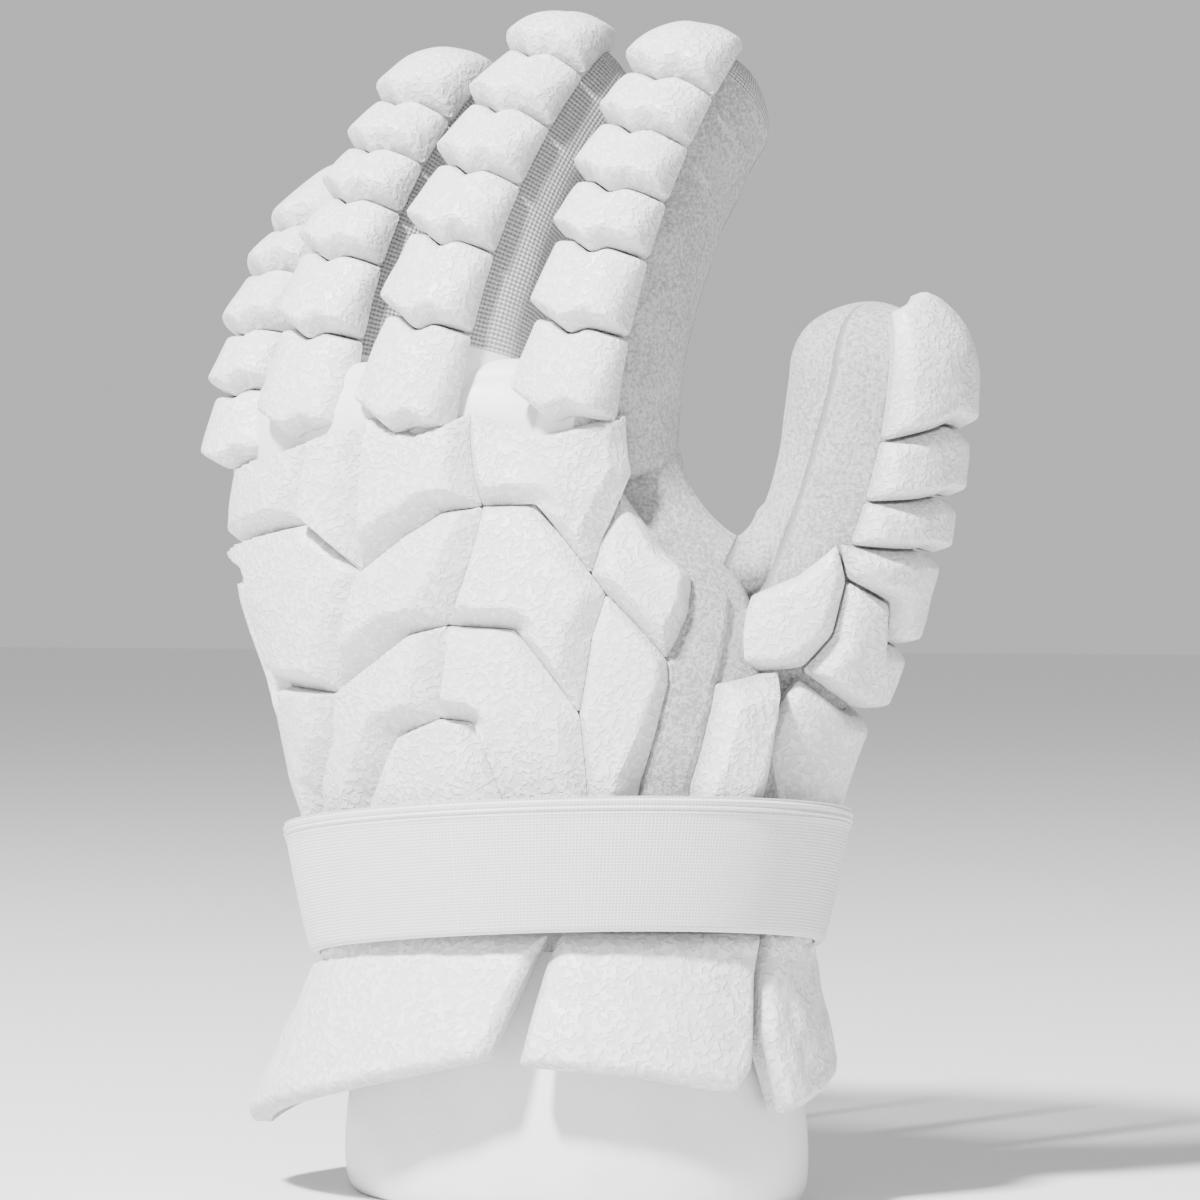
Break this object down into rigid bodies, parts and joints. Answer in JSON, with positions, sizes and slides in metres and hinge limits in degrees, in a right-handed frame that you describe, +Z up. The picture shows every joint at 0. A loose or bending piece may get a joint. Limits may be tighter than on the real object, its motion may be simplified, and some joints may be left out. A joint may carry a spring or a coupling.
{
  "type": "lacrosse glove",
  "caption": "Left-hand lacrosse glove with segmented foam pads on the back, fingers and thumb, a wrist strap and a flared padded cuff, standing on its cuff.",
  "frame": {"origin": "on the floor under the middle of the bounding box, in the plane of the rim that the glove stands on", "axes": "+Z up from the cuff to the fingertips, +X towards the thumb side, -Y out of the back of the hand"},
  "size_m": [0.2274, 0.1244, 0.3305],
  "materials": {
    "pad_leather": "white synthetic leather over moulded foam, embossed with short wrinkles, semi-matte",
    "cuff_pad_leather": "white synthetic leather over flat foam, coarse wrinkle grain, semi-matte",
    "palm_suede": "light grey suede with a fine nap, matte",
    "finger_knit": "light grey knitted mesh with rows of small holes, matte",
    "liner_leather": "smooth white leather, softly wrinkled, semi-matte",
    "strap_webbing": "white woven webbing with a fine crosshatch, matte"
  },
  "bodies": {
    "root": {"back_pad_little_1": "pad_leather", "back_pad_ring_1": "pad_leather", "back_pad_middle_1": "pad_leather", "back_pad_index_1": "pad_leather", "back_pad_ring_2": "pad_leather", "back_pad_middle_2": "pad_leather", "back_pad_index_2": "pad_leather", "back_pad_middle_3": "pad_leather", "back_pad_index_3": "pad_leather", "back_pad_centre": "pad_leather", "back_pad_thumb_1": "pad_leather", "back_pad_edge": "pad_leather", "back_pad_thumb_2": "pad_leather", "suede_strip": "palm_suede", "thumb_base_pad_root": "pad_leather", "thumb_base_pad_outer": "pad_leather", "thumb_base_pad_inner": "pad_leather", "thumb_pad_1": "pad_leather", "thumb_pad_2": "pad_leather", "thumb_pad_3": "pad_leather", "thumb_pad_4": "pad_leather", "thumb_pad_5": "pad_leather", "index_pad_1": "pad_leather", "index_pad_2": "pad_leather", "index_pad_3": "pad_leather", "index_pad_4": "pad_leather", "index_pad_5": "pad_leather", "index_pad_6": "pad_leather", "middle_pad_1": "pad_leather", "middle_pad_2": "pad_leather", "middle_pad_3": "pad_leather", "middle_pad_4": "pad_leather", "middle_pad_5": "pad_leather", "middle_pad_6": "pad_leather", "ring_pad_1": "pad_leather", "ring_pad_2": "pad_leather", "ring_pad_3": "pad_leather", "ring_pad_4": "pad_leather", "ring_pad_5": "pad_leather", "ring_pad_6": "pad_leather", "little_pad_1": "pad_leather", "little_pad_2": "pad_leather", "little_pad_3": "pad_leather", "little_pad_4": "pad_leather", "little_pad_5": "pad_leather", "hand_back_low": "palm_suede", "hand_back_high": "palm_suede", "hand_palm_low": "palm_suede", "hand_palm_high": "palm_suede", "index_sleeve": "finger_knit", "middle_sleeve": "finger_knit", "ring_sleeve": "finger_knit", "little_sleeve": "finger_knit", "thumb_sleeve": "palm_suede", "thumb_web": "palm_suede", "cuff_liner": "liner_leather", "cuff_pad_outer": "cuff_pad_leather", "cuff_pad_front": "cuff_pad_leather", "cuff_pad_inner": "cuff_pad_leather", "wrist_strap": "strap_webbing"}
  },
  "joints": []
}
